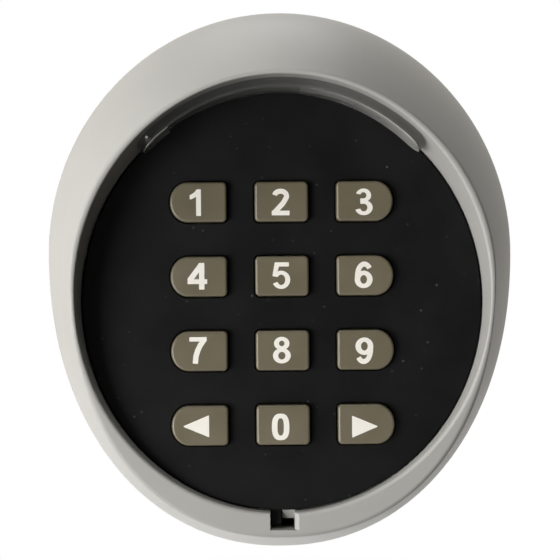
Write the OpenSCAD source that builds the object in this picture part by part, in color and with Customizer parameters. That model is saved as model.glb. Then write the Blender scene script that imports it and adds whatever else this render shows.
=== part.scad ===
// Outdoor numeric keypad for a wall: an egg-shaped housing with a rain hood over a recessed
// panel of twelve keys, a clear light bar under the hood, and a battery radio module behind.
// +X is right, +Y goes into the wall and +Z is up. The origin lies on the wall, behind the housing.
// Every part is drawn face-on, as [across, up, depth], where depth is the distance in front
// of the wall, and facing() turns it into place.

/* [Housing] */
// Half of the housing's width at the wall
wall_half_w = 52.5; // [52:0.1:54]
// Height of the housing's widest line at the wall
wall_wide_up = 6.2; // [5:0.1:7]
// Rise of the wall outline above its widest line
wall_rise = 54.6; // [54:0.1:57]
// Drop of the wall outline below its widest line
wall_drop = 66.5; // [66:0.1:69]
// Half of the width of the hood's front edge
front_half_w = 45.2; // [45.2:0.1:46]
// Rise of the hood's front edge
front_rise = 44.1; // [44.1:0.1:45]
// Drop of the front edge
front_drop = 55.5; // [55:0.1:57]
// Depth of the front edge at the foot of the opening
lip_depth_low = 24; // [23.5:0.1:26]
// Slope of the front edge's plane, in mm of depth for each mm of height
lip_slope = 0.1715; // [0.15:0.005:0.2]
// Thickness of the housing's walls
wall = 1.8; // [1.6:0.1:1.9]
// Radius of the rounding along the front edges
edge_round = 0.9; // [0.4:0.1:1]

/* [Opening] */
// Half of the opening's width at the front edge
lip_half_w = 44.3; // [44:0.1:44.4]
// Half of the opening's height at the front edge
lip_half_h = 46.8; // [46.6:0.1:47]
// Height of the opening's centre at the front edge
lip_centre_up = -3.5; // [-3.7:0.1:-3.3]
// Width of the service notch at the foot of the opening
notch_w = 5.3; // [4.6:0.1:6]
// How far the middle of the notch lies to the side
notch_across = -0.3; // [-0.5:0.1:0.5]
// Height of the lower end of the service notch
notch_low_up = -53.8; // [-54.2:0.1:-53]

/* [Key panel] */
// Half of the panel's width
panel_half_w = 43.35; // [43.2:0.05:43.4]
// Half of the panel's height
panel_half_h = 45.35; // [45.2:0.05:45.4]
// Height of the panel's centre
panel_centre_up = -4.3; // [-4.4:0.1:-4.1]
// Depth of the panel's front face
panel_depth = 22; // [21.9:0.1:22.4]
// Thickness of the panel
panel_t = 2.5; // [2.3:0.1:2.6]

/* [Keys] */
// Distance between key columns
column_pitch = 18; // [17.5:0.1:18.5]
// Distance between key rows
row_pitch = 16.1; // [15:0.1:16.5]
// Height of the top row of keys
top_row_up = 17.2; // [16:0.1:18]
// Width of a middle key
middle_key_w = 11.6; // [10:0.1:12]
// Width of a key with a round end
side_key_w = 12.3; // [11:0.1:12.6]
// Height of a key
key_h = 8.65; // [8:0.05:10]
// Corner radius of a key
key_corner = 1; // [0.6:0.1:1.5]
// How far a key stands in front of the panel
key_proud = 2; // [1.6:0.1:2.4]
// How far a key can be pressed
key_travel = 1.2; // [0.8:0.1:1.2]
// Height of a digit
digit_h = 5.75; // [5:0.05:6]

/* [Wall fixing] */
// Distance across between the wall screw holes
wall_hole_across = 44; // [40:1:46]
// Distance up between the wall screw holes
wall_hole_apart = 68; // [64:1:70]
// Height of the middle of the wall screw holes
wall_hole_up = -8; // [-9:0.5:-7]
// Diameter of a wall screw hole
wall_hole_d = 4.5; // [4:0.1:5]

/* [Hidden] */

// Colours
silver = [0.72, 0.71, 0.68];
black_plastic = [0.09, 0.09, 0.09];
grey_plastic = [0.3, 0.3, 0.3];
foam = [0.15, 0.15, 0.16];
steel = [0.72, 0.73, 0.75];
nickel = [0.82, 0.8, 0.74];
clear_plastic = [0.85, 0.88, 0.88, 0.5];
key_plastic = [0.4, 0.38, 0.32];
legend_white = [0.93, 0.9, 0.86];
silicone = [0.75, 0.76, 0.74];
board_green = [0.05, 0.3, 0.16];
chip_black = [0.06, 0.06, 0.07];

// Steps of each outline, and of the outer wall from the wall plane to its front edge
ring_steps = 96;
outer_steps = 8;
oval_steps = 72;
pin_fn = 24;

// Outline shapes: 2 is an ellipse and more is squarer
wall_full_up = 2;
wall_full_down = 2.12;
front_full_up = 1.95;
front_full_down = 2.2;
// How strongly the outer wall curves forward: 1 is straight
bulge_low = 1.1;
bulge_high = 1.8;

// The seat of the panel in the housing
seat_gap = 0.3;
seat_half_w = panel_half_w + seat_gap;
seat_half_h = panel_half_h + seat_gap;
panel_back = panel_depth - panel_t;
ledge_t = 2;
ledge_w = 2.65;
// Height at which lip_depth_low holds
lip_low_up = -50;
// Narrowest hollow left between the hood's two walls
least_hollow = 0.6;

// The service notch
notch_left = notch_across - notch_w / 2;
notch_right = notch_across + notch_w / 2;
notch_top_up = panel_centre_up - seat_half_h + 0.4;
notch_back = 13;
notch_wall = 1;

// Rear plate and its screws
plate_t = 2.6;
plate_gap = 0.2;
boss_r = 3;
plate_screws = [[-12, -48.8, 19], [12, -48.8, 19], [-23, 39.5, 26], [23, 39.5, 26]];
pilot_r = 1.1;
plate_screw_r = 1.05;
plate_screw_l = 12;
plate_screw_head_r = 2.7;
plate_hole_r = 1.5;
gasket_w = 2.6;
gasket_t = 0.8;

// Keys
key_gap = 0.25;
flange_w = 0.7;
flange_t = 0.8;
flange_gap = 0.05;
flange_front = panel_back - flange_gap;
flange_back = flange_front - flange_t;
key_front = panel_depth + key_proud;
key_end_w = 3.8;
legend_depth = 0.4;
legend_proud = 0.03;
legend_round = 0.13;

// The panel's skirt, the mat, the board and the module's rear cover
skirt_inset = 2.75;
skirt_t = 1.3;
skirt_back = 15;
board_inset = 1.9;
board_t = 1.4;
mat_t = 0.4;
dome_gap = 0.05;
dome_r = 3.6;
dome_top_r = 2.8;
board_front = flange_back - key_travel - mat_t - dome_gap;
board_back = board_front - board_t;
cover_floor = 9;
cover_floor_t = 1.4;
post_r = 2.4;
post_hole_r = 0.9;
panel_posts = [[-30.5, 16], [30.5, 16], [-29.5, -25.5], [29.5, -25.5]];

// Batteries: two AAA cells, side by side
cell_r = 5.25;
cell_l = 43.5;
nub_l = 1;
nub_r = 1.9;
cell_depth = 9.4;
cell_pitch = 11.2;
bay_up = -21.8;
cell_up = [bay_up + cell_pitch / 2, bay_up - cell_pitch / 2];
bay_half_l = 25.2;
bay_half_h = 11.2;
bay_wall = 1.4;
door_back = 3;
door_t = 0.9;
contact_t = 0.4;

// ---------- shared geometry ----------

function unit(v) = v / norm(v);
function at(p, depth) = [p[0], p[1], depth];
function mix(a, b, s) = a + (b - a) * s;

// A point at angle a on an egg-shaped outline about [0, centre_up]
function egg_point(a, half_w, rise, drop, centre_up, full_up, full_down) =
    let (
        full = sin(a) >= 0 ? full_up : full_down,
        half_h = sin(a) >= 0 ? rise : drop,
        r = pow(pow(abs(cos(a)) / half_w, full) + pow(abs(sin(a)) / half_h, full), -1 / full)
    )
    [r * cos(a), centre_up + r * sin(a)];

// Where the ray from the origin at angle a meets an ellipse about [0, centre_up]
function oval_ray(a, half_w, half_h, centre_up) =
    let (
        q = pow(cos(a) / half_w, 2) + pow(sin(a) / half_h, 2),
        h = sin(a) * centre_up / pow(half_h, 2),
        k = pow(centre_up / half_h, 2) - 1,
        r = (h + sqrt(h * h - q * k)) / q
    )
    [r * cos(a), r * sin(a)];

// An ellipse about the panel's centre, as an outline
function oval(half_w, half_h, steps = oval_steps) =
    [for (k = [0:steps - 1]) let (a = k * 360 / steps)
        [half_w * cos(a), panel_centre_up + half_h * sin(a)]];

// Two triangles for each four-sided patch between ring i and ring k, clockwise from outside
function patch_faces(i, k, n) =
    [for (j = [0:n - 1]) let (m = (j + 1) % n)
        each [[i * n + j, k * n + j, k * n + m], [i * n + j, k * n + m, i * n + m]]];

// A solid with one ring of points above another, closed at both ends
module stack(rings) {
    n = len(rings[0]);
    last = len(rings) - 1;
    polyhedron(
        points = [for (ring = rings) each ring],
        faces = concat(
            [for (i = [0:last - 1]) each patch_faces(i, i + 1, n)],
            [[for (j = [0:n - 1]) j]],
            [[for (j = [n - 1:-1:0]) last * n + j]]
        ),
        convexity = 6
    );
}

// A solid of rings whose last one joins the first one again
module loop(rings) {
    n = len(rings[0]);
    count = len(rings);
    polyhedron(
        points = [for (ring = rings) each ring],
        faces = [for (i = [0:count - 1]) each patch_faces(i, (i + 1) % count, n)],
        convexity = 10
    );
}

// Wire of radius wire_r along a path that runs mostly along the first axis
module wire(path, wire_r, sides = 6) {
    last = len(path) - 1;
    rings = [for (k = [0:last]) let (
            along = unit(path[min(k + 1, last)] - path[max(k - 1, 0)]),
            side = unit(cross([1, 0, 0], along)),
            up = cross(along, side)
        )
        [for (j = [0:sides - 1]) let (a = j * 360 / sides)
            path[k] + wire_r * (cos(a) * side + sin(a) * up)]];
    stack(rings);
}

// A coil along the first axis, whose radius goes from r_start to r_end
module coil(length, r_start, r_end, turns, wire_r) {
    steps = turns * 12;
    wire([for (k = [0:steps]) let (s = k / steps, r = mix(r_start, r_end, s), a = 360 * turns * s)
        [length * s, r * cos(a), r * sin(a)]], wire_r);
}

module facing() rotate([90, 0, 0]) children();
module slab(back, front) translate([0, 0, back]) linear_extrude(front - back) children();
module pin(p, r, back, front)
    translate([p[0], p[1], back]) cylinder(r = r, h = front - back, $fn = pin_fn);
module block(low, high) translate(low) cube(high - low);

// ---------- housing ----------

function lip_depth(up) = lip_depth_low + (up - lip_low_up) * lip_slope;
function wall_outline(a) =
    egg_point(a, wall_half_w, wall_rise, wall_drop, wall_wide_up, wall_full_up, wall_full_down);
function front_outline(a) =
    egg_point(a, front_half_w, front_rise, front_drop, 0, front_full_up, front_full_down);
function lip_outline(a) = oval_ray(a, lip_half_w, lip_half_h, lip_centre_up);
function seat_outline(a, inset = 0) =
    oval_ray(a, seat_half_w - inset, seat_half_h - inset, panel_centre_up);
function outward(a) = [cos(a), sin(a)];

// The outer wall at a depth, between the wall plane and its front edge
function outer_at(a, depth) =
    let (
        front = front_outline(a),
        bulge = mix(bulge_low, bulge_high, (sin(a) + 1) / 2)
    )
    mix(wall_outline(a), front, pow(depth / lip_depth(front[1]), bulge));

// The opening's wall at a depth: it widens from the panel's seat to the front edge
function opening_at(a, depth) =
    let (lip = lip_outline(a), s = (depth - panel_depth) / (lip_depth(lip[1]) - panel_depth))
    mix(seat_outline(a), lip, max(0, s));

// The greatest depth at which the two walls still leave a hollow between them
function hollow_end(a) =
    max([for (depth = [panel_back - 1:0.25:lip_depth(front_outline(a)[1]) - wall])
        if (norm(outer_at(a, depth) - opening_at(a, depth)) >= 2 * wall + least_hollow) depth]);

// A corner rounded with three points, between the points before and after it
function rounded(before, corner, after, r) =
    let (p = corner + unit(before - corner) * r, q = corner + unit(after - corner) * r)
    [p, (p + 2 * corner + q) / 4, q];

// The closed cross-section of the housing at angle a
function section(a) =
    let (
        front = front_outline(a),
        lip = lip_outline(a),
        front_edge = at(front, lip_depth(front[1])),
        lip_edge = at(lip, lip_depth(lip[1])),
        r = min(edge_round, norm(front_edge - lip_edge) * 0.45),
        end = hollow_end(a),
        out = outward(a)
    )
    concat(
        [for (k = [0:outer_steps - 1]) let (depth = front_edge[2] * k / outer_steps * 0.97)
            at(outer_at(a, depth), depth)],
        rounded(at(outer_at(a, front_edge[2] * 0.9), front_edge[2] * 0.9), front_edge, lip_edge, r),
        rounded(front_edge, lip_edge, at(seat_outline(a), panel_depth), r),
        [
            at(seat_outline(a), panel_depth),
            at(seat_outline(a), panel_back),
            at(seat_outline(a, ledge_w), panel_back),
            at(seat_outline(a, ledge_w), panel_back - ledge_t),
            at(seat_outline(a) + wall * out, panel_back - ledge_t),
            at(opening_at(a, end) + wall * out, end)
        ],
        [for (k = [outer_steps:-1:0]) let (depth = end * k / outer_steps)
            at(outer_at(a, depth) - wall * out, depth)]
    );

module shell() {
    sections = [for (k = [0:ring_steps - 1]) section(k * 360 / ring_steps)];
    loop([for (i = [0:len(sections[0]) - 1]) [for (s = sections) s[i]]]);
}

module housing() color(silver) facing() difference() {
    union() {
        difference() {
            union() {
                shell();
                notch_sleeve();
            }
            block([notch_left, notch_low_up, notch_back], [notch_right, notch_top_up, 40]);
        }
        catch();
        for (p = plate_screws) pin(p, boss_r, plate_t, p[2]);
    }
    for (p = plate_screws) pin(p, pilot_r, plate_t - 1, plate_screw_l + 2);
}

// The walls of the notch inside the hollow housing
module notch_sleeve()
    block([notch_left - notch_wall, notch_low_up - notch_wall, notch_back + 0.5],
        [notch_right + notch_wall, panel_centre_up - seat_half_h - wall + 0.2, panel_depth]);

// The ramped catch that the panel's tongue snaps beside
module catch() {
    low = notch_low_up + 2;
    top = notch_top_up - 0.2;
    back = panel_back - ledge_t - 1;
    translate([notch_across, 0, 0])
        rotate([90, 0, 90])
            linear_extrude(notch_right + 0.5 - notch_across)
                polygon([[low, back], [top, back], [top, panel_depth - 1], [low, panel_depth - 3.2]]);
}

// ---------- rear plate ----------

function plate_outline(inset = 0) =
    [for (k = [0:ring_steps - 1]) let (a = k * 360 / ring_steps)
        outer_at(a, plate_t) - (wall + plate_gap + inset) * outward(a)];

module at_wall_holes()
    for (sx = [-1, 1], su = [-1, 1])
        translate([sx * wall_hole_across / 2, wall_hole_up + su * wall_hole_apart / 2, 0]) children();

module gasket_ring(inset) {
    difference() {
        polygon(plate_outline(1.5 + inset));
        polygon(plate_outline(1.5 + gasket_w - inset));
    }
}

module rear_plate() color(grey_plastic) facing() difference() {
    union() {
        slab(0, plate_t) polygon(plate_outline());
        // Stiffening collars round the wall screw holes
        at_wall_holes() cylinder(r = 5, h = plate_t + 0.8, $fn = pin_fn);
    }
    slab(-1, gasket_t) gasket_ring(0);
    at_wall_holes() translate([0, 0, -1]) cylinder(d = wall_hole_d, h = 9, $fn = pin_fn);
    for (p = plate_screws) {
        pin(p, plate_hole_r, -1, plate_t + 1);
        translate([p[0], p[1], -0.01])
            cylinder(r1 = plate_screw_head_r + 0.2, r2 = plate_hole_r, h = 1.6, $fn = pin_fn);
    }
}

module rear_gasket() color(foam) facing() slab(0, gasket_t) gasket_ring(0.05);

// A countersunk screw from the back, with a cross recess
module sunk_screw(head_r, shank_r, length) difference() {
    union() {
        translate([0, 0, 0.15]) cylinder(r1 = head_r, r2 = shank_r, h = 1.3, $fn = pin_fn);
        cylinder(r = shank_r, h = length, $fn = pin_fn);
    }
    cross_recess(head_r, 0.7);
}

module cross_recess(head_r, depth) {
    translate([-head_r * 0.55, -0.25, -1]) cube([head_r * 1.1, 0.5, 1 + depth]);
    translate([-0.25, -head_r * 0.55, -1]) cube([0.5, head_r * 1.1, 1 + depth]);
}

module rear_plate_screws() color(steel) facing()
    for (p = plate_screws)
        translate(at(p, 0)) sunk_screw(plate_screw_head_r, plate_screw_r, plate_screw_l);

// ---------- key panel ----------

// A key's outline, grown by grow: round_side is -1 or 1 for a round left or right end, or 0
function key_outline(round_side, grow = 0) =
    let (
        half_w = (round_side == 0 ? middle_key_w : side_key_w) / 2 + grow,
        half_h = key_h / 2 + grow,
        r = key_corner + grow,
        end_w = key_end_w + grow,
        square_end = concat(
            corner([half_w - r, r - half_h], r, -90),
            corner([half_w - r, half_h - r], r, 0)
        ),
        other_end = round_side == 0
            ? concat(corner([r - half_w, half_h - r], r, 90), corner([r - half_w, r - half_h], r, 180))
            : [for (a = [90:12:270]) [end_w - half_w + end_w * cos(a), half_h * sin(a)]],
        outline = concat(square_end, other_end)
    )
    round_side == 1 ? [for (k = [len(outline) - 1:-1:0]) [-outline[k][0], outline[k][1]]] : outline;
function corner(centre, r, start) =
    [for (a = [start:18:start + 90]) centre + r * [cos(a), sin(a)]];

// Keys in reading order: the name, column, row, and how far the legend sits from the key's middle
KEYS = [
    ["1", -1, 0, [-0.4, -0.1]], ["2", 0, 0, [-0.2, -0.1]], ["3", 1, 0, [-0.2, -0.2]],
    ["4", -1, 1, [-0.3, 0.1]], ["5", 0, 1, [-0.2, 0.1]], ["6", 1, 1, [-0.4, 0.1]],
    ["7", -1, 2, [-0.3, 0.2]], ["8", 0, 2, [-0.2, 0.1]], ["9", 1, 2, [-0.3, -0.2]],
    ["left", -1, 3, [-0.9, -0.1]], ["0", 0, 3, [-0.6, -0.4]], ["right", 1, 3, [-0.3, -0.5]]
];
function key_place(key) = [key[1] * column_pitch, top_row_up - key[2] * row_pitch];

module front_panel() {
    skirt_w = panel_half_w - skirt_inset;
    skirt_h = panel_half_h - skirt_inset;
    edge = 0.35;
    color(black_plastic) facing() difference() {
        union() {
            stack([
                [for (p = oval(panel_half_w, panel_half_h)) at(p, panel_back)],
                [for (p = oval(panel_half_w, panel_half_h)) at(p, panel_depth - edge)],
                [for (p = oval(panel_half_w - edge, panel_half_h - edge)) at(p, panel_depth)]
            ]);
            slab(skirt_back, panel_back + 0.5) difference() {
                polygon(oval(skirt_w, skirt_h));
                polygon(oval(skirt_w - skirt_t, skirt_h - skirt_t));
            }
            for (p = panel_posts) pin(p, post_r, board_front, panel_back + 0.5);
            // The hook that grips behind the housing's ledge at the top
            block([-6, panel_centre_up + skirt_h - 0.8, skirt_back + 0.4],
                [6, panel_centre_up + skirt_h + 2, panel_back - ledge_t - 0.2]);
            // The tongue that the catch holds, in the service notch
            block([notch_left + 0.2, notch_low_up + 0.9, panel_back + 0.2],
                [notch_across - 0.2, panel_centre_up - skirt_h - 1.6, panel_depth - 1]);
        }
        for (key = KEYS)
            translate(at(key_place(key), 0))
                slab(panel_back - 1, panel_depth + 1) polygon(key_outline(key[1], key_gap));
        for (p = panel_posts) pin(p, post_hole_r, board_front - 1, panel_back + 1.2);
    }
}

// The light bar's inner face, and how far it keeps from the opening's wall and the front edge
guide_half_w = 41.6;
guide_half_h = 45;
guide_gap = 0.1;
guide_back_off = 2.6;
guide_angle = 47;
guide_end = 4.5;

// The bar's cross-section, off degrees from the top; its ends are rounded
function guide_ring(off) =
    let (
        a = 90 + off,
        inner = oval_ray(a, guide_half_w, guide_half_h, panel_centre_up),
        full = lip_depth(lip_outline(a)[1]) - guide_back_off,
        middle = (panel_depth + full) / 2,
        from_end = min(1, (guide_angle - abs(off)) / guide_end),
        half = max(0.35, sqrt(1 - pow(1 - from_end, 2))) * (full - panel_depth) / 2,
        back = middle - half,
        front = middle + half,
        outer_back = opening_at(a, back) - guide_gap * outward(a),
        outer_front = opening_at(a, front) - guide_gap * outward(a)
    )
    [at(inner, back), at(outer_back, back), at(outer_front, front), at(inner, front)];

module light_guide() {
    steps = 94;
    color(clear_plastic) facing()
        stack([for (k = [0:steps]) guide_ring(guide_angle * (2 * k / steps - 1))]);
}

// ---------- keys and legends ----------

module key_cap(key) {
    outline_at = function (grow, depth) [for (p = key_outline(key[1], grow)) at(p, depth)];
    color(key_plastic) facing() translate(at(key_place(key), 0)) difference() {
        stack([
            outline_at(flange_w, flange_back),
            outline_at(flange_w, flange_front),
            outline_at(0, flange_front),
            outline_at(0, key_front - 0.5),
            outline_at(-0.15, key_front - 0.15),
            outline_at(-0.5, key_front)
        ]);
        slab(key_front - legend_depth, key_front + 1) legend_shape(key);
    }
}

module legend(key) color(legend_white) facing() translate(at(key_place(key), 0))
    slab(key_front - legend_depth, key_front + legend_proud) legend_shape(key);

// The legend's outline, with its outer corners slightly rounded
module legend_shape(key)
    translate(key[3]) offset(r = legend_round, $fn = 16) offset(delta = -legend_round) {
        name = key[0];
        if (name == "left") arrow(-1);
        else if (name == "right") arrow(1);
        else scale(digit_h / (2 * digit_top)) digit(name);
    }

module arrow(side) polygon([[side * 2.85, 0], [-side * 2.85, side * 2.4], [-side * 2.85, -side * 2.4]]);

// Digits are drawn 5.7 high and 3.9 wide, about their middle
stem_w = 1.2;
bar_w = 1;
digit_top = 2.85;
digit_half_w = 1.9;

function arc(centre, radii, start, end, steps = 24) =
    [for (k = [0:steps]) let (a = mix(start, end, k / steps))
        centre + [radii[0] * cos(a), radii[1] * sin(a)]];
function left_of(v) = [-v[1], v[0]];

// The outline of a stroke of constant width along a path
function stroke_outline(path, w) =
    let (
        last = len(path) - 1,
        sides = [for (k = [0:last]) left_of(unit(path[min(k + 1, last)] - path[max(k - 1, 0)])) * w / 2]
    )
    concat(
        [for (k = [0:last]) path[k] + sides[k]],
        [for (k = [last:-1:0]) path[k] - sides[k]]
    );
module stroke(path, w = stem_w) polygon(stroke_outline(path, w));
module bar(low, high) translate(low) square(high - low);
// Part of an oval loop, with sides w[0] and a top and bottom w[1] wide
module bow(centre, radii, start, end, w = [stem_w, bar_w])
    polygon(concat(
        arc(centre, radii + w / 2, start, end),
        arc(centre, radii - w / 2, end, start)
    ));
// A closed loop about a centre: full is 2 for an ellipse and more for a squarer loop
module ring(centre, radii, w = [stem_w, bar_w], full = 2) difference() {
    polygon(lobe(centre, radii + w / 2, full));
    polygon(lobe(centre, radii - w / 2, full));
}
function lobe(centre, radii, full) =
    [for (a = [0:7.5:352.5])
        centre + [radii[0] * squared(cos(a), full), radii[1] * squared(sin(a), full)]];
function squared(v, full) = sign(v) * pow(abs(v), 2 / full);

module digit(name) {
    if (name == "0") ring([0, 0], [1.28, digit_top - bar_w / 2], full = 2.6);
    if (name == "1")
        polygon([[1, -digit_top], [1, digit_top], [0.1, digit_top], [-0.45, 2.15],
            [-1.4, 1.62], [-1.4, 0.65], [-0.65, 0.9], [-0.05, 1.3], [-0.05, -digit_top]]);
    if (name == "2") {
        stroke(concat(arc([0, 1.27], [1.3, 1.05], 168, -30), [[0.55, -0.25], [-1.2, -2.1]]), 1.1);
        bar([-digit_half_w, -digit_top], [digit_half_w, -digit_top + bar_w]);
        polygon([[-digit_half_w, -2.3], [-1.7, -1.75], [-0.8, -1.6], [-0.5, -2.3]]);
    }
    if (name == "3") {
        bow([-0.05, 1.4], [1.13, 1.06], 165, -90, [1.02, 0.8]);
        bow([0, -1.23], [1.34, 1.22], 90, -165, [1.12, 0.82]);
        bar([-0.75, -0.42], [0.1, 0.74]);
    }
    if (name == "4") {
        bar([0.35, -digit_top], [1.5, digit_top - 0.4]);
        bar([-2.1, -1.65], [2.1, -0.65]);
        polygon([[-2.1, -0.9], [-2.1, -0.5], [0.4, digit_top], [1.5, digit_top], [1.5, 1.3],
            [0.6, 1.2], [-0.95, -0.9]]);
    }
    if (name == "5") {
        bar([-1.35, digit_top - 0.9], [1.68, digit_top]);
        polygon([[-1.35, digit_top], [-0.45, digit_top - 0.9], [-0.75, 0.9], [-0.75, -0.3],
            [-1.88, -0.1]]);
        bow([0, -0.9], [1.4, 1.53], 145, -157, [1.08, 0.84]);
    }
    if (name == "6") six();
    if (name == "7") {
        bar([-1.85, digit_top - 0.95], [1.85, digit_top]);
        stroke([[1.25, 2.2], [0.5, 1.1], [-0.05, 0], [-0.45, -1.3], [-0.6, -digit_top]], 1.15);
    }
    if (name == "8") {
        ring([0, 1.43], [1.12, 1], [1.08, 0.84]);
        ring([0, -1.2], [1.34, 1.23], [1.14, 0.84]);
    }
    if (name == "9") rotate(180) six();
}

module six() {
    ring([0.03, -0.97], [1.32, 1.4], [stem_w, 0.95]);
    stroke(arc([0.2, -0.35], [1.5, 2.67], 196, 42), 1.08);
}

// ---------- inside the module ----------

module dome_mat() {
    color(silicone) facing() {
        difference() {
            slab(board_front, board_front + mat_t) bar([-23.5, -35.6], [23.5, 24]);
            for (p = led_places)
                slab(board_front - 1, board_front + 1) translate(p) bar([-2, -1.2], [2, 1.2]);
        }
        for (key = KEYS)
            translate(at(key_place(key), board_front + mat_t))
                cylinder(r1 = dome_r, r2 = dome_top_r, h = key_travel, $fn = pin_fn);
    }
}

led_places = [[-9, 9], [9, 9], [-9, -7.1], [9, -7.1], [-9, -23.2], [9, -23.2]];

module leds() color(nickel) facing()
    for (p = concat(led_places, [[-19, 27], [19, 27]]))
        translate(at(p, board_front)) block([-1.6, -0.8, 0], [1.6, 0.8, 0.6]);

module circuit_board() color(board_green) facing() difference() {
    inset = skirt_inset + board_inset;
    slab(board_back, board_front) polygon(oval(panel_half_w - inset, panel_half_h - inset));
    for (p = panel_posts) pin(p, post_hole_r + 0.2, board_back - 1, board_front + 1);
}

// A part soldered to the back of the board, with legs along its long sides
module chip(centre, half_w, half_h, height, legs) {
    low = board_back - height;
    translate(at(centre, 0)) {
        block([-half_w, -half_h, low], [half_w, half_h, board_back - 0.15]);
        for (k = [0:legs - 1], side = [-1, 1])
            let (x = -half_w + (k + 0.5) * 2 * half_w / legs)
            block([x - 0.2, side > 0 ? half_h : -half_h - 1.2, board_back - 0.3],
                [x + 0.2, side > 0 ? half_h + 1.2 : -half_h, board_back]);
    }
}

module controller_chip() color(chip_black) facing() chip([2, 6], 6.4, 3.75, 2.4, 10);

module radio_module() {
    centre = [-15, 20];
    color(board_green) facing() translate(at(centre, 0)) {
        block([-9, -6, board_back - 1], [9, 6, board_back]);
        block([-7, -4, board_back - 3.2], [3, 4, board_back - 1]);
        block([4.5, -3.5, board_back - 2], [7.5, -0.5, board_back - 1]);
    }
}

module crystal() color(steel) facing() translate([19, 5, board_back - 3.6]) {
    half_w = 3.2;
    r = 1.9;
    for (side = [-1, 1]) translate([side * half_w, 0, 0]) cylinder(r = r, h = 3.6, $fn = pin_fn);
    block([-half_w, -r, 0], [half_w, r, 3.6]);
}

module buzzer() color(chip_black) facing() difference() {
    pin([20, 20], 5.5, board_back - 4.6, board_back);
    pin([20, 20], 1, board_back - 5, board_back - 3.6);
}

module capacitors() color(nickel) facing() {
    pin([4, 19], 2.5, board_back - 4.8, board_back);
    for (x = [-12, -9, -6]) translate([x, 2, board_back - 0.9]) block([-0.6, -1, 0], [0.6, 1, 0.9]);
}

antenna_wire_r = 0.4;
antenna_r = 1.9;

module antenna_coil() color("darkgoldenrod") facing()
    translate([-8, 31.5, board_back - antenna_r - antenna_wire_r - 0.05])
        coil(16, antenna_r, antenna_r, 8, antenna_wire_r);

// ---------- rear cover and batteries ----------

module bay(grow, back, front)
    block([-bay_half_l - grow, bay_up - bay_half_h - grow, back],
        [bay_half_l + grow, bay_up + bay_half_h + grow, front]);

module rear_cover() {
    half_w = panel_half_w - skirt_inset;
    half_h = panel_half_h - skirt_inset;
    inner_front = cover_floor + cover_floor_t;
    color(black_plastic) facing() difference() {
        union() {
            difference() {
                slab(cover_floor, skirt_back) polygon(oval(half_w, half_h));
                slab(inner_front, skirt_back + 1) polygon(oval(half_w - skirt_t, half_h - skirt_t));
            }
            bay(bay_wall, door_back + door_t, board_back - 0.2);
            for (p = panel_posts) pin(p, post_r, cover_floor, board_back);
        }
        bay(0, door_back, board_back - 0.8);
        for (p = panel_posts) {
            pin(p, post_hole_r + 0.2, cover_floor - 1, board_back + 1);
            pin(p, post_r - 0.6, cover_floor - 1, cover_floor + 1.5);
        }
    }
}

module rear_cover_screws() color(steel) facing()
    for (p = panel_posts) difference() {
        union() {
            pin(p, post_r - 0.7, cover_floor + 0.2, cover_floor + 1.5);
            pin(p, post_hole_r - 0.05, cover_floor + 1.5, panel_back - 0.5);
        }
        translate(at(p, cover_floor + 0.2)) cross_recess(post_r - 0.7, 0.6);
    }

module battery_door() color(black_plastic) facing() {
    bay(bay_wall, door_back, door_back + door_t);
    // Ribs that keep the cells down
    rib_back = door_back + door_t;
    for (x = [-12, 12]) block([x - 0.5, bay_up - 0.8, rib_back], [x + 0.5, bay_up + 0.8, rib_back + 2.4]);
}

module along_x(x, up, depth) translate([x, up, depth]) rotate([0, 90, 0]) children();

// The first cell's raised end points right and the second's points left
module batteries() color("dimgray") facing()
    for (k = [0, 1]) mirror([k, 0, 0]) along_x(-cell_l / 2 - 0.2, cell_up[k], cell_depth) {
        cylinder(r = cell_r, h = cell_l, $fn = pin_fn * 2);
        translate([0, 0, cell_l]) cylinder(r = nub_r, h = nub_l, $fn = pin_fn);
    }

module battery_springs() {
    start = bay_half_l - contact_t - 0.1;
    wire_r = 0.3;
    color(steel) facing()
        for (k = [0, 1]) mirror([k, 0, 0])
            translate([-start + wire_r + 0.02, cell_up[k], cell_depth])
                coil(start - cell_l / 2 - 0.2 - 2 * wire_r - 0.05, 3.4, 2.2, 3, wire_r);
}

module battery_contacts() {
    outer = bay_half_l - 0.1;
    half_h = 4.4;
    half_depth = 4.2;
    color(nickel) facing() {
        // One plate joins the two cells at the left, and each has its own at the right
        block([-outer, cell_up[1] - half_h, cell_depth - half_depth],
            [contact_t - outer, cell_up[0] + half_h, cell_depth + half_depth]);
        for (up = cell_up)
            block([outer - contact_t, up - half_h, cell_depth - half_depth],
                [outer, up + half_h, cell_depth + half_depth]);
        for (k = [0, 1]) mirror([k, 0, 0])
            along_x(cell_l / 2 - 0.2 + nub_l, cell_up[k], cell_depth)
                cylinder(r = 2.2, h = outer - contact_t - cell_l / 2 + 0.2 - nub_l, $fn = pin_fn);
    }
}

// ---------- which nodes are drawn ----------

housing();
rear_plate();
rear_gasket();
rear_plate_screws();
front_panel();
light_guide();
dome_mat();
leds();
circuit_board();
controller_chip();
radio_module();
crystal();
buzzer();
capacitors();
antenna_coil();
rear_cover();
rear_cover_screws();
battery_door();
batteries();
battery_springs();
battery_contacts();
for (key = KEYS) {
    key_cap(key);
    legend(key);
}
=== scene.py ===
"""The looks of an outdoor numeric keypad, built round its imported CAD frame.

The shape functions work in millimetres, face-on, as (across, up, depth), where depth is the distance
in front of the wall. place() turns such a point into Blender's metres, with +X right, +Y into the
wall and +Z up.
"""

import math

import bmesh
import bpy
from mathutils import Matrix, Vector


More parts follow.
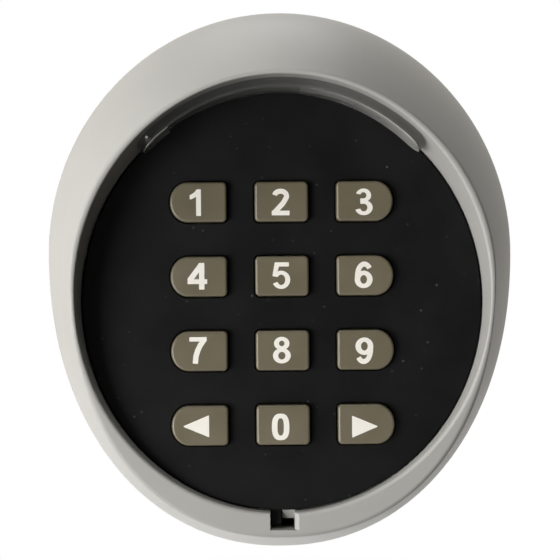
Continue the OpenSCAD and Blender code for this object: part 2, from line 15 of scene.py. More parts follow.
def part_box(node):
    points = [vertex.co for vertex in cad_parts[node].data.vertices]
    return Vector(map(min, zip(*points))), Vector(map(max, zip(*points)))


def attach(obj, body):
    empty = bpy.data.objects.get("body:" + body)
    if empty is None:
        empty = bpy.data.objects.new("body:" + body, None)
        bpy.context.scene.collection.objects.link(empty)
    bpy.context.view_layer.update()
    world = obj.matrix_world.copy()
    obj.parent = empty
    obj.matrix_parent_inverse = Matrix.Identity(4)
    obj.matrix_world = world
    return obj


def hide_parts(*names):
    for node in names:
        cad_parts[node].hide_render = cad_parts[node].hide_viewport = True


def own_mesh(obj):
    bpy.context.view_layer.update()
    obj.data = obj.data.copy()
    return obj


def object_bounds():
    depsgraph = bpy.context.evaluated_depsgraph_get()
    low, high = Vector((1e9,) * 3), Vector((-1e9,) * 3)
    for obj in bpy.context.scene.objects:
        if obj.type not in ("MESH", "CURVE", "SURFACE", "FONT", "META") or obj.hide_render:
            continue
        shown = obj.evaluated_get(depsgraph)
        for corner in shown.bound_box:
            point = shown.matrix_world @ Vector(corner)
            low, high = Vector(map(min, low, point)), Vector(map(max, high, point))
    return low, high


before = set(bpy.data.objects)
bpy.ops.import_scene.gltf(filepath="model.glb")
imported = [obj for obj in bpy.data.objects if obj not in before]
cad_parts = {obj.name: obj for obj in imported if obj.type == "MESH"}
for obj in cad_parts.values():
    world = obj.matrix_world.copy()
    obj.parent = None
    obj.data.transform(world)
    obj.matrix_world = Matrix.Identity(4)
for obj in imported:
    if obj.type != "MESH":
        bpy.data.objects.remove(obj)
cad_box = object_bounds()

MM = 0.001
WELD = 1e-7


def place(point):
    across, up, depth = point
    return Vector((across, -depth, up)) * MM


def face_on_box(node):
    """A CAD node's lowest and highest corners as (across, up, depth) in millimetres."""
    low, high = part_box(node)
    return (low.x / MM, low.z / MM, -high.y / MM), (high.x / MM, high.z / MM, -low.y / MM)


# ---------- sizes: the CAD's driving dimensions, in millimetres ----------

# The housing: its outline on the wall, its outline in front, and the slope of its front edge
housing_low, housing_high = face_on_box("housing")
WALL_HALF_W = housing_high[0]
WALL_WIDE_UP = 6.2
WALL_RISE = housing_high[1] - WALL_WIDE_UP
WALL_DROP = WALL_WIDE_UP - housing_low[1]
FRONT_HALF_W = 45.2
FRONT_RISE = 44.1
FRONT_DROP = 55.5
# The front edge's depth at LIP_LOW_UP, and how much deeper it gets with each millimetre up
LIP_DEPTH_LOW = 24
LIP_LOW_UP = -50
LIP_SLOPE = 0.1715
WALL = 1.8
EDGE_ROUND = 0.9
# The power that shapes the bulge of the wall between the two outlines, at the bottom and at the top
BULGE_LOW = 1.1
BULGE_HIGH = 1.8
# How full each outline is, above and below its widest place: an ellipse is 2
WALL_FULL_UP = 2
WALL_FULL_DOWN = 2.12
FRONT_FULL_UP = 1.95
FRONT_FULL_DOWN = 2.2

# The opening, and the service notch below it
LIP_HALF_W = 44.3
LIP_HALF_H = 46.8
LIP_CENTRE_UP = -3.5
NOTCH_LEFT = -2.95
NOTCH_RIGHT = 2.35
NOTCH_ACROSS = (NOTCH_LEFT + NOTCH_RIGHT) / 2
NOTCH_LOW_UP = -53.8
NOTCH_BACK = 13
NOTCH_WALL = 1
CHAMFER_DEPTH = 0.7
CHAMFER_LEFT = 0.1
CHAMFER_RIGHT = 0.9
CHAMFER_LOW = 0.15

# The panel, the skirt and posts behind it, and the housing's ledge under its edge
PANEL_HALF_W = face_on_box("front_panel")[1][0]
PANEL_HALF_H = 45.35
PANEL_CENTRE_UP = -4.3
PANEL_DEPTH = face_on_box("front_panel")[1][2]
PANEL_T = 2.5
PANEL_BACK = PANEL_DEPTH - PANEL_T
PANEL_EDGE = 0.35
SEAT_GAP = 0.3
SEAT_LOW_UP = PANEL_CENTRE_UP - PANEL_HALF_H - SEAT_GAP
LEDGE_T = 2
LEDGE_W = 2.65
SKIRT_INSET = 2.75
SKIRT_T = 1.3
SKIRT_BACK = 15
SKIRT_HALF_H = PANEL_HALF_H - SKIRT_INSET
BOARD_FRONT = 17
PANEL_POSTS = [(-30.5, 16), (30.5, 16), (-29.5, -25.5), (29.5, -25.5)]
POST_R = 2.4
POST_HOLE_R = 0.9
POST_HOLE_IN = 1.2

# The screws that hold the rear plate: where each is, and the depth that its boss reaches
PLATE_T = 2.6
PLATE_SCREWS = [((-12, -48.8), 19), ((12, -48.8), 19), ((-23, 39.5), 26), ((23, 39.5), 26)]
BOSS_R = 3
PILOT_R = 1.1
PILOT_END = 14

# The keys
KEY_NAMES = ("1", "2", "3", "4", "5", "6", "7", "8", "9", "left", "0", "right")
KEY_FLANGE_W = 0.7
KEY_FLANGE_T = 0.8
KEY_CORNER = 1
# How far a round end reaches, from where it starts to curve
KEY_END_W = 3.8
KEY_GAP = 0.25
KEY_EDGE = 0.55
KEY_HOLE_EDGE = 0.15
KEY_TRAVEL = 1.2

# How far a shape reaches into the one it joins, how far a cutter goes past what it cuts, and the play
# between two pieces that snap together
OVERLAP = 0.5
PAST = 1
PLAY = 0.2


# ---------- outlines and meshes ----------


def mix(a, b, s):
    return tuple(p + (q - p) * s for p, q in zip(a, b))


def shifted(point, direction, distance):
    return tuple(p + d * distance for p, d in zip(point, direction))


def toward(start, end, length):
    """The point at that length from start, in the direction of end."""
    return mix(start, end, length / math.dist(start, end))


def at(point, depth):
    return (point[0], point[1], depth)


def ray(a):
    return (math.cos(a), math.sin(a))


def egg_point(a, half_w, rise, drop, centre_up, full_up, full_down):
    """A point at angle a on an egg-shaped outline about (0, centre_up)."""
    upper = math.sin(a) >= 0
    full = full_up if upper else full_down
    half_h = rise if upper else drop
    x = abs(math.cos(a)) / half_w
    y = abs(math.sin(a)) / half_h
    r = (x**full + y**full) ** (-1 / full)
    return (r * math.cos(a), centre_up + r * math.sin(a))


def oval_ray(a, half_w, half_h, centre_up):
    """Where the ray from the origin at angle a meets an ellipse about (0, centre_up)."""
    q = (math.cos(a) / half_w) ** 2 + (math.sin(a) / half_h) ** 2
    h = math.sin(a) * centre_up / half_h**2
    k = (centre_up / half_h) ** 2 - 1
    r = (h + math.sqrt(h * h - q * k)) / q
    return (r * math.cos(a), r * math.sin(a))


def turns(steps):
    return [2 * math.pi * k / steps for k in range(steps)]


def arc(start, sweep, steps):
    """Angles along an arc that starts at start degrees and sweeps over sweep degrees."""
    return [math.radians(start + sweep * k / steps) for k in range(steps + 1)]


def add_mesh(name, points, faces):
    mesh = bpy.data.meshes.new(name)
    mesh.from_pydata([place(p) for p in points], [], faces)
    edit = bmesh.new()
    edit.from_mesh(mesh)
    bmesh.ops.recalc_face_normals(edit, faces=edit.faces)
    edit.to_mesh(mesh)
    edit.free()
    obj = bpy.data.objects.new(name, mesh)
    bpy.context.scene.collection.objects.link(obj)
    return obj


def ring_faces(i, k, n):
    """The faces between rings i and k, of n points each."""
    return [(i * n + j, i * n + (j + 1) % n, k * n + (j + 1) % n, k * n + j) for j in range(n)]


def stack(name, rings):
    """A solid with one ring of points above another, closed at both ends."""
    n = len(rings[0])
    last = len(rings) - 1
    faces = [face for i in range(last) for face in ring_faces(i, i + 1, n)]
    faces += [tuple(range(n)), tuple(range(last * n, last * n + n))]
    return add_mesh(name, [p for ring in rings for p in ring], faces)


def loop(name, rings):
    """A solid of rings whose last one joins the first one again."""
    n = len(rings[0])
    faces = [face for i in range(len(rings)) for face in ring_faces(i, (i + 1) % len(rings), n)]
    return add_mesh(name, [p for ring in rings for p in ring], faces)


def prism(name, outline, back, front):
    return stack(name, [[at(p, back) for p in outline], [at(p, front) for p in outline]])


def circle(centre, r, steps=32):
    return [shifted(centre, ray(a), r) for a in turns(steps)]


def block(name, low, high, chamfer=0.15):
    """A box whose front and back edges are chamfered."""
    def rectangle(inset, depth):
        x0, x1 = low[0] + inset, high[0] - inset
        y0, y1 = low[1] + inset, high[1] - inset
        return [(x0, y0, depth), (x1, y0, depth), (x1, y1, depth), (x0, y1, depth)]

    return stack(name, [
        rectangle(chamfer, low[2]),
        rectangle(0, low[2] + chamfer),
        rectangle(0, high[2] - chamfer),
        rectangle(chamfer, high[2]),
    ])


def combine(target, operation, other):
    """Applies a boolean of other to target, and removes other."""
    modifier = target.modifiers.new("combine", "BOOLEAN")
    modifier.operation = operation
    modifier.solver = "MANIFOLD"
    modifier.object = other
    graph = bpy.context.evaluated_depsgraph_get()
    mesh = bpy.data.meshes.new_from_object(target.evaluated_get(graph))
    target.modifiers.clear()
    target.data = mesh
    bpy.data.objects.remove(other)


def cad_copy(node):
    """A welded copy of a CAD node's solid, to cut its place out of another piece."""
    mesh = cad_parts[node].data.copy()
    edit = bmesh.new()
    edit.from_mesh(mesh)
    bmesh.ops.remove_doubles(edit, verts=edit.verts, dist=WELD)
    edit.to_mesh(mesh)
    edit.free()
    obj = bpy.data.objects.new("cutter", mesh)
    bpy.context.scene.collection.objects.link(obj)
    return obj


def smooth(obj, angle=35):
    """Smooth shading that leaves flat faces flat, whatever has been cut out of them."""
    obj.data.shade_smooth()
    obj.data.set_sharp_from_angle(angle=math.radians(angle))
    modifier = obj.modifiers.new("flat_faces", "WEIGHTED_NORMAL")
    modifier.keep_sharp = True


def finish_piece(obj, body, node, material):
    """Puts a finished piece in its CAD node's stead."""
    obj.data.materials.clear()
    obj.data.materials.append(material)
    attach(obj, body)
    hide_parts(node)


# ---------- materials ----------


class Graph:
    """A short way to write nodes: an input is another node's output, or a constant."""

    def __init__(self, tree):
        self.tree = tree

    def add(self, kind, inputs=None, **settings):
        node = self.tree.nodes.new(kind)
        for key, value in settings.items():
            setattr(node, key, value)
        for key, value in (inputs or {}).items():
            if isinstance(value, bpy.types.NodeSocket):
                self.tree.links.new(value, node.inputs[key])
            else:
                node.inputs[key].default_value = value
        return node

    def ranged(self, value, low, high, out_low, out_high, curve="LINEAR"):
        """The value carried over from low and high to out_low and out_high, and held at the two ends."""
        inputs = {"Value": value, "From Min": low, "From Max": high, "To Min": out_low, "To Max": out_high}
        return self.add("ShaderNodeMapRange", inputs, interpolation_type=curve).outputs["Result"]


class Nodes(Graph):
    """A new material's nodes."""

    def __init__(self, name):
        self.material = bpy.data.materials.new(name)
        self.material.use_nodes = True
        super().__init__(self.material.node_tree)
        self.shader = self.tree.nodes["Principled BSDF"]
        self.coords = self.add("ShaderNodeTexCoord").outputs["Object"]

    def noise(self, scale, detail=2.0):
        inputs = {"Vector": self.coords, "Scale": scale, "Detail": detail}
        return self.add("ShaderNodeTexNoise", inputs).outputs["Fac"]

    def blend(self, factor, a, b):
        """Colour a where the factor is 0, and colour b where it is 1."""
        node = self.add("ShaderNodeMix", data_type="RGBA")
        for key, value in (("Factor_Float", factor), ("A_Color", a), ("B_Color", b)):
            socket = next(s for s in node.inputs if s.identifier == key)
            if isinstance(value, bpy.types.NodeSocket):
                self.tree.links.new(value, socket)
            else:
                socket.default_value = (*value, 1)
        return next(s for s in node.outputs if s.identifier == "Result_Color")

    def shade(self, **sockets):
        """Sets the shader's sockets, whose names are written with _ for a space."""
        for key, value in sockets.items():
            socket = self.shader.inputs[key.replace("_", " ")]
            if isinstance(value, bpy.types.NodeSocket):
                self.tree.links.new(value, socket)
            elif isinstance(value, tuple) and len(value) == 3:
                socket.default_value = (*value, 1)
            else:
                socket.default_value = value

    def bump(self, height, strength, reach):
        inputs = {"Height": height, "Strength": strength, "Distance": reach}
        return self.add("ShaderNodeBump", inputs).outputs["Normal"]


# Most of a noise texture lies between the first two, and nearly all of it between the last two
NOISE_LOW = 0.3
NOISE_HIGH = 0.7
NOISE_LEAST = 0.25
NOISE_MOST = 0.75
# How far the roughness strays to either side of its middle
GLOSS_SPREAD = 0.04
# Heights of surface grain, in metres
FINE_GRAIN = 0.00004
COARSE_GRAIN = 0.00005
TRACE_HEIGHT = 0.00006


def moulded(name, dark, light, roughness, grain=2500.0, grain_strength=0.15, patch=60.0, **sockets):
    """Moulded or painted stuff: soft patches of two near tones, a fine grain and uneven gloss."""
    nodes = Nodes(name)
    patches = nodes.noise(patch, 4.0)
    low = roughness - GLOSS_SPREAD
    high = roughness + GLOSS_SPREAD
    nodes.shade(
        Base_Color=nodes.blend(nodes.ranged(patches, NOISE_LOW, NOISE_HIGH, 0.0, 1.0), dark, light),
        Roughness=nodes.ranged(patches, NOISE_LEAST, NOISE_MOST, low, high),
        Normal=nodes.bump(nodes.noise(grain, 1.0), grain_strength, FINE_GRAIN),
        **sockets,
    )
    return nodes.material


def housing_paint():
    return moulded(
        "housing_paint", (0.385, 0.377, 0.352), (0.412, 0.404, 0.378), 0.48,
        grain=3200.0, grain_strength=0.12, patch=45.0, Specular_IOR_Level=0.3,
    )


def panel_plastic():
    """Black plastic with a spark-eroded texture and a little settled dust."""
    nodes = Nodes("panel_plastic")
    haze = nodes.ranged(nodes.noise(75.0, 4.0), 0.36, 0.66, 0.0, 1.0)
    base = nodes.blend(haze, (0.0016, 0.0017, 0.0017), (0.0052, 0.0054, 0.0053))
    # A speck of dust lies in the middle of each cell, and only the specks in some patches show
    cells = nodes.add("ShaderNodeTexVoronoi", {"Vector": nodes.coords, "Scale": 420.0, "Randomness": 1.0})
    speck = nodes.ranged(cells.outputs["Distance"], 0.05, 0.14, 1.0, 0.0)
    dusty = nodes.ranged(nodes.noise(160.0, 3.0), 0.50, 0.68, 0.0, 0.6)
    dust = nodes.add("ShaderNodeMath", {0: speck, 1: dusty}, operation="MULTIPLY").outputs[0]
    nodes.shade(
        Base_Color=nodes.blend(dust, base, (0.11, 0.12, 0.115)),
        Roughness=nodes.ranged(nodes.noise(120.0, 3.0), NOISE_LOW, NOISE_HIGH, 0.50, 0.60),
        Normal=nodes.bump(nodes.noise(2600.0, 2.0), 0.3, COARSE_GRAIN),
        Specular_IOR_Level=0.12,
    )
    return nodes.material


def key_plastic():
    return moulded(
        "key_plastic", (0.128, 0.110, 0.069), (0.146, 0.125, 0.081), 0.36,
        grain=3000.0, grain_strength=0.12, patch=110.0,
    )


def legend_plastic():
    return moulded(
        "legend_plastic", (0.90, 0.86, 0.775), (0.93, 0.89, 0.805), 0.42,
        grain=4000.0, grain_strength=0.15, patch=300.0,
    )


def clear_plastic():
    """The light guide's plastic, which is seen through."""
    nodes = Nodes("clear_plastic")
    haze = nodes.noise(240.0, 3.0)
    nodes.shade(
        Base_Color=nodes.blend(haze, (0.025, 0.0255, 0.025), (0.04, 0.041, 0.04)),
        Roughness=nodes.ranged(haze, NOISE_LOW, NOISE_HIGH, 0.08, 0.16),
        Normal=nodes.bump(nodes.noise(700.0, 2.0), 0.05, FINE_GRAIN),
        Specular_IOR_Level=1.0,
        Alpha=0.25,
    )
    return nodes.material


# How far from its middle the light guide's frosting and its painted light start, and where they are full,
# in metres
FROST_AND_PAINTED_LIGHT_STARTS = 0.006
FROST_AND_PAINTED_LIGHT_FULL = 0.026


def frosted_plastic_with_painted_light():
    """The clear plastic's ground inner face, which clears towards the middle of the bar; its paler, denser
    ends are partly painted light, standing in for the light that the bar's ends catch.
    """
    nodes = Nodes("frosted_plastic_with_painted_light")
    haze = nodes.noise(260.0, 3.0)
    across = nodes.add("ShaderNodeSeparateXYZ", {0: nodes.coords}).outputs["X"]
    from_middle = nodes.add("ShaderNodeMath", {0: across}, operation="ABSOLUTE").outputs[0]
    nodes.shade(
        Base_Color=nodes.blend(haze, (0.41, 0.398, 0.37), (0.58, 0.566, 0.535)),
        Roughness=nodes.ranged(haze, NOISE_LOW, NOISE_HIGH, 0.26, 0.36),
        Normal=nodes.bump(nodes.noise(1500.0, 1.0), 0.3, FINE_GRAIN),
        # Painted light: the inner face turns paler and less clear away from the middle, as the bar's ends
        # catch light
        Alpha=nodes.ranged(from_middle, FROST_AND_PAINTED_LIGHT_STARTS, FROST_AND_PAINTED_LIGHT_FULL, 0.05, 0.65),
    )
    return nodes.material


def metal(name, dark, light, roughness):
    return moulded(
        name, dark, light, roughness,
        grain=5000.0, grain_strength=0.1, patch=900.0, Metallic=1.0,
    )


def board_laminate():
    """Green laminate with fine traces under the solder mask."""
    nodes = Nodes("board_laminate")
    traces = nodes.add("ShaderNodeTexBrick", {
        "Vector": nodes.coords,
        "Scale": 260.0,
        "Mortar Size": 0.05,
        "Color1": (0.012, 0.10, 0.045, 1),
        "Color2": (0.014, 0.12, 0.052, 1),
        "Mortar": (0.045, 0.20, 0.075, 1),
    })
    nodes.shade(
        Base_Color=traces.outputs["Color"],
        Roughness=nodes.ranged(nodes.noise(200.0, 2.0), NOISE_LOW, NOISE_HIGH, 0.28, 0.38),
        Normal=nodes.bump(traces.outputs["Fac"], 0.3, TRACE_HEIGHT),
    )
    return nodes.material


# Where the cells' second colour starts, in metres across, and where it is full
BAND_STARTS = 0.0120
BAND_FULL = 0.0122


def cell_jacket():
    """A plain battery jacket in two colours."""
    nodes = Nodes("cell_jacket")
    across = nodes.add("ShaderNodeSeparateXYZ", {0: nodes.coords}).outputs["X"]
    band = nodes.ranged(across, BAND_STARTS, BAND_FULL, 0.0, 1.0)
    grain = nodes.noise(400.0, 3.0)
    body = nodes.blend(grain, (0.02, 0.03, 0.06), (0.03, 0.045, 0.085))
    nodes.shade(
        Base_Color=nodes.blend(band, body, (0.55, 0.38, 0.12)),
        Roughness=nodes.ranged(grain, NOISE_LOW, NOISE_HIGH, 0.24, 0.34),
        Metallic=0.4,
    )
    return nodes.material


# ---------- housing ----------

WALL_STEPS = 288
OUTER_STEPS = 20
ROUND_STEPS = 6
OPENING_STEPS = 4
# Shares of the outer wall's depth: the stretch that its rings divide, and the place that the front edge's
# rounding is aimed from
RINGS_END = 0.97
AIM_FROM = 0.9
# The greatest share of the front face that one of its two roundings takes
ROUND_SHARE = 0.45
# The hollow between the two walls: its least width, and the start and step of the search for its end
LEAST_HOLLOW = 0.6
HOLLOW_FROM = PANEL_BACK - 1
HOLLOW_STEP = 0.25
# The notch's top, the sleeve that stops short of the notch's back so that the cut goes through, and the
# catch with its ramp
NOTCH_TOP_UP = SEAT_LOW_UP + 0.4
SLEEVE_TOP_UP = SEAT_LOW_UP - WALL + 0.2
SLEEVE_BACK = NOTCH_BACK + 0.5
CATCH_LOW_UP = NOTCH_LOW_UP + 2
CATCH_TOP_UP = SEAT_LOW_UP + 0.2
CATCH_BACK = PANEL_BACK - LEDGE_T - 1
CATCH_FRONT_HIGH = PANEL_DEPTH - 1
CATCH_FRONT_LOW = PANEL_DEPTH - 3.2


def lip_depth(up):
    return LIP_DEPTH_LOW + (up - LIP_LOW_UP) * LIP_SLOPE


def wall_outline(a):
    return egg_point(a, WALL_HALF_W, WALL_RISE, WALL_DROP, WALL_WIDE_UP, WALL_FULL_UP, WALL_FULL_DOWN)


def front_outline(a):
    return egg_point(a, FRONT_HALF_W, FRONT_RISE, FRONT_DROP, 0, FRONT_FULL_UP, FRONT_FULL_DOWN)


def lip_outline(a):
    return oval_ray(a, LIP_HALF_W, LIP_HALF_H, LIP_CENTRE_UP)


def seat_outline(a, inset=0):
    return oval_ray(a, PANEL_HALF_W + SEAT_GAP - inset, PANEL_HALF_H + SEAT_GAP - inset, PANEL_CENTRE_UP)


def outer_at(a, depth):
    """The outer wall at a depth, between the wall plane and its front edge."""
    front = front_outline(a)
    bulge = BULGE_LOW + (BULGE_HIGH - BULGE_LOW) * (math.sin(a) + 1) / 2
    return mix(wall_outline(a), front, (depth / lip_depth(front[1])) ** bulge)


def opening_at(a, depth):
    """The opening's wall at a depth: it widens from the panel's seat to the front edge."""
    lip = lip_outline(a)
    s = (depth - PANEL_DEPTH) / (lip_depth(lip[1]) - PANEL_DEPTH)
    return mix(seat_outline(a), lip, max(0, s))


def hollow_end(a):
    """The greatest depth at which the two walls still leave a hollow between them."""
    depth = HOLLOW_FROM
    end = depth
    while depth <= lip_depth(front_outline(a)[1]) - WALL:
        if math.dist(outer_at(a, depth), opening_at(a, depth)) >= 2 * WALL + LEAST_HOLLOW:
            end = depth
        depth += HOLLOW_STEP
    return end


def rounded(before, corner, after, r, steps=ROUND_STEPS):
    """A corner rounded by a parabola that starts and ends at distance r from it."""
    start = toward(corner, before, r)
    end = toward(corner, after, r)
    shares = [k / steps for k in range(steps + 1)]
    return [mix(mix(start, corner, s), mix(corner, end, s), s) for s in shares]


def housing_section(a):
    """The closed cross-section of the housing at angle a."""
    front = front_outline(a)
    lip = lip_outline(a)
    front_edge = at(front, lip_depth(front[1]))
    lip_edge = at(lip, lip_depth(lip[1]))
    r = min(EDGE_ROUND, math.dist(front_edge, lip_edge) * ROUND_SHARE)
    end = hollow_end(a)
    before = front_edge[2] * AIM_FROM
    seat_front = at(seat_outline(a), PANEL_DEPTH)
    outer = [front_edge[2] * k / OUTER_STEPS * RINGS_END for k in range(OUTER_STEPS)]
    inner = [end * k / OUTER_STEPS for k in range(OUTER_STEPS, -1, -1)]
    edges = rounded(at(outer_at(a, before), before), front_edge, lip_edge, r)
    edges += rounded(front_edge, lip_edge, seat_front, r)
    opening = [mix(edges[-1], seat_front, k / OPENING_STEPS) for k in range(1, OPENING_STEPS)]
    ledge_back = PANEL_BACK - LEDGE_T
    ledge = [
        seat_front,
        at(seat_outline(a), PANEL_BACK),
        at(seat_outline(a, LEDGE_W), PANEL_BACK),
        at(seat_outline(a, LEDGE_W), ledge_back),
        at(shifted(seat_outline(a), ray(a), WALL), ledge_back),
        at(shifted(opening_at(a, end), ray(a), WALL), end),
    ]
    return (
        [at(outer_at(a, depth), depth) for depth in outer]
        + edges
        + opening
        + ledge
        + [at(shifted(outer_at(a, depth), ray(a), -WALL), depth) for depth in inner]
    )


def notch_cutter():
    """The notch's straight sides, and the chamfers where they meet the front edge."""
    def ring(grow):
        left = NOTCH_LEFT - CHAMFER_LEFT * grow
        right = NOTCH_RIGHT + CHAMFER_RIGHT * grow
        low = NOTCH_LOW_UP - CHAMFER_LOW * grow
        return [(left, low), (right, low), (right, NOTCH_TOP_UP), (left, NOTCH_TOP_UP)]

    def at_edge(outline, rise):
        return [at(p, lip_depth(p[1]) + rise) for p in outline]

    grown = 1 + PAST / CHAMFER_DEPTH
    back = [at(p, NOTCH_BACK) for p in ring(0)]
    return stack("notch", [back, at_edge(ring(0), -CHAMFER_DEPTH), at_edge(ring(grown), PAST)])


def notch_sleeve():
    """The walls of the notch inside the hollow housing."""
    low = (NOTCH_LEFT - NOTCH_WALL, NOTCH_LOW_UP - NOTCH_WALL, SLEEVE_BACK)
    return block("sleeve", low, (NOTCH_RIGHT + NOTCH_WALL, SLEEVE_TOP_UP, PANEL_DEPTH))


def catch():
    """The ramped catch that the panel's tongue snaps beside."""
    profile = [
        (CATCH_LOW_UP, CATCH_BACK),
        (CATCH_TOP_UP, CATCH_BACK),
        (CATCH_TOP_UP, CATCH_FRONT_HIGH),
        (CATCH_LOW_UP, CATCH_FRONT_LOW),
    ]
    ends = (NOTCH_ACROSS, NOTCH_RIGHT + OVERLAP)
    return stack("catch", [[(across, *p) for p in profile] for across in ends])


def build_housing(material):
    sections = [housing_section(a) for a in turns(WALL_STEPS)]
    housing = loop("housing_shell", list(zip(*sections)))
    combine(housing, "UNION", notch_sleeve())
    combine(housing, "DIFFERENCE", notch_cutter())
    combine(housing, "UNION", catch())
    for centre, top in PLATE_SCREWS:
        combine(housing, "UNION", prism("boss", circle(centre, BOSS_R), PLATE_T, top))
        combine(housing, "DIFFERENCE", prism("pilot", circle(centre, PILOT_R), PLATE_T - PAST, PILOT_END))
    smooth(housing)
    finish_piece(housing, "case", "housing", material)


# ---------- key panel ----------

KEY_CORNER_STEPS = 8
KEY_END_STEPS = 36
EDGE_STEPS = 6
# Key caps whose middle is nearer the centre line than this have no round end
MIDDLE_COLUMN = 1
HOOK_HALF_W = 6
HOOK_BACK = 15.4
HOOK_IN = 0.8
HOOK_OUT = 2
TONGUE_LOW_UP = NOTCH_LOW_UP + 0.9
TONGUE_TOP_UP = PANEL_CENTRE_UP - SKIRT_HALF_H - 1.6
TONGUE_FRONT = PANEL_DEPTH - 1


def key_outline(half_w, half_h, round_side, grow=0):
    """A key's outline grown by grow: round_side is -1 or 1 for a round left or right end, or 0."""
    r = KEY_CORNER + grow
    half_w += grow
    half_h += grow

    def corner(x, y, start):
        return [(x + r * math.cos(a), y + r * math.sin(a)) for a in arc(start, 90, KEY_CORNER_STEPS)]

    outline = corner(half_w - r, r - half_h, -90) + corner(half_w - r, half_h - r, 0)
    if round_side == 0:
        return outline + corner(r - half_w, half_h - r, 90) + corner(r - half_w, r - half_h, 180)
    end_w = KEY_END_W + grow
    half_turn = arc(90, 180, KEY_END_STEPS)
    outline += [(end_w - half_w + end_w * math.cos(a), half_h * math.sin(a)) for a in half_turn]
    return [(-x, y) for x, y in reversed(outline)] if round_side > 0 else outline


class Key:
    """Where a key is and how large its cap is, from its CAD node."""

    def __init__(self, name):
        low, high = face_on_box("key_" + name)
        self.name = name
        self.centre = ((low[0] + high[0]) / 2, (low[1] + high[1]) / 2)
        self.half_w = (high[0] - low[0]) / 2 - KEY_FLANGE_W
        self.half_h = (high[1] - low[1]) / 2 - KEY_FLANGE_W
        self.back = low[2]
        self.front = high[2]
        in_middle = abs(self.centre[0]) < MIDDLE_COLUMN
        self.round_side = 0 if in_middle else math.copysign(1, self.centre[0])

    def ring(self, grow, depth):
        outline = key_outline(self.half_w, self.half_h, self.round_side, grow)
        return [at(shifted(self.centre, p, 1), depth) for p in outline]


def oval(inset, depth, steps=240):
    """The panel's outline at a depth, drawn in by inset."""
    half_w, half_h = PANEL_HALF_W - inset, PANEL_HALF_H - inset
    return [(half_w * math.cos(a), PANEL_CENTRE_UP + half_h * math.sin(a), depth) for a in turns(steps)]


def skirt():
    """The wall behind the panel, round the electronics."""
    wall = stack("skirt", [oval(SKIRT_INSET, SKIRT_BACK), oval(SKIRT_INSET, PANEL_BACK + OVERLAP)])
    inset = SKIRT_INSET + SKIRT_T
    bore = stack("skirt_bore", [oval(inset, SKIRT_BACK - PAST), oval(inset, PANEL_BACK + PAST)])
    combine(wall, "DIFFERENCE", bore)
    return wall


def hook():
    """The hook that grips behind the housing's ledge at the top."""
    skirt_top = PANEL_CENTRE_UP + SKIRT_HALF_H
    low = (-HOOK_HALF_W, skirt_top - HOOK_IN, HOOK_BACK)
    return block("hook", low, (HOOK_HALF_W, skirt_top + HOOK_OUT, PANEL_BACK - LEDGE_T - PLAY))


def tongue():
    """The tongue beside the catch, in the service notch."""
    low = (NOTCH_LEFT + PLAY, TONGUE_LOW_UP, PANEL_BACK + PLAY)
    return block("tongue", low, (NOTCH_ACROSS - PLAY, TONGUE_TOP_UP, TONGUE_FRONT))


def key_hole(key):
    wide = KEY_GAP + KEY_HOLE_EDGE + PAST
    return stack("key_hole", [
        key.ring(KEY_GAP, PANEL_BACK - PAST),
        key.ring(KEY_GAP, PANEL_DEPTH - KEY_HOLE_EDGE),
        key.ring(wide, PANEL_DEPTH + PAST),
    ])


def build_panel(keys, material):
    front_edge = [
        oval(PANEL_EDGE * (1 - math.cos(a)), PANEL_DEPTH - PANEL_EDGE * (1 - math.sin(a)))
        for a in arc(0, 90, EDGE_STEPS)
    ]
    panel = stack("panel", [oval(0, PANEL_BACK)] + front_edge)
    combine(panel, "UNION", skirt())
    hole_end = PANEL_BACK + POST_HOLE_IN
    for centre in PANEL_POSTS:
        post = prism("post", circle(centre, POST_R), BOARD_FRONT, PANEL_BACK + OVERLAP)
        combine(panel, "UNION", post)
        hole = prism("post_hole", circle(centre, POST_HOLE_R), BOARD_FRONT - PAST, hole_end)
        combine(panel, "DIFFERENCE", hole)
    combine(panel, "UNION", hook())
    combine(panel, "UNION", tongue())
    for key in keys:
        combine(panel, "DIFFERENCE", key_hole(key))
    smooth(panel)
    finish_piece(panel, "case", "front_panel", material)


def build_key(key, material):
    """A key cap: a flange behind the panel, a button with a rounded edge, and a pocket for its legend."""
    flange = [
        key.ring(KEY_FLANGE_W, key.back),
        key.ring(KEY_FLANGE_W, key.back + KEY_FLANGE_T),
        key.ring(0, key.back + KEY_FLANGE_T),
    ]
    edge = [
        key.ring(KEY_EDGE * (math.cos(a) - 1), key.front - KEY_EDGE * (1 - math.sin(a)))
        for a in arc(0, 90, EDGE_STEPS)
    ]
    cap = stack("key_cap_" + key.name, flange + edge)
    combine(cap, "DIFFERENCE", cad_copy("legend_" + key.name))
    smooth(cap)
    finish_piece(cap, "button_" + key.name, "key_" + key.name, material)


# ---------- dome mat ----------

DOME_R = 3.6
DOME_TOP_R = 2.8
DOME_CROWN = 0.2
DOME_SUNK = 0.1
DOME_STEPS = 48
# The chamfer on the mat sheet's front and back edges
SHEET_CHAMFER = 0.05
LAMP_PLACES = [(across, up) for across in (-9, 9) for up in (9, -7.1, -23.2)]
LAMP_OPENING_HALF_W = 2
LAMP_OPENING_HALF_H = 1.2


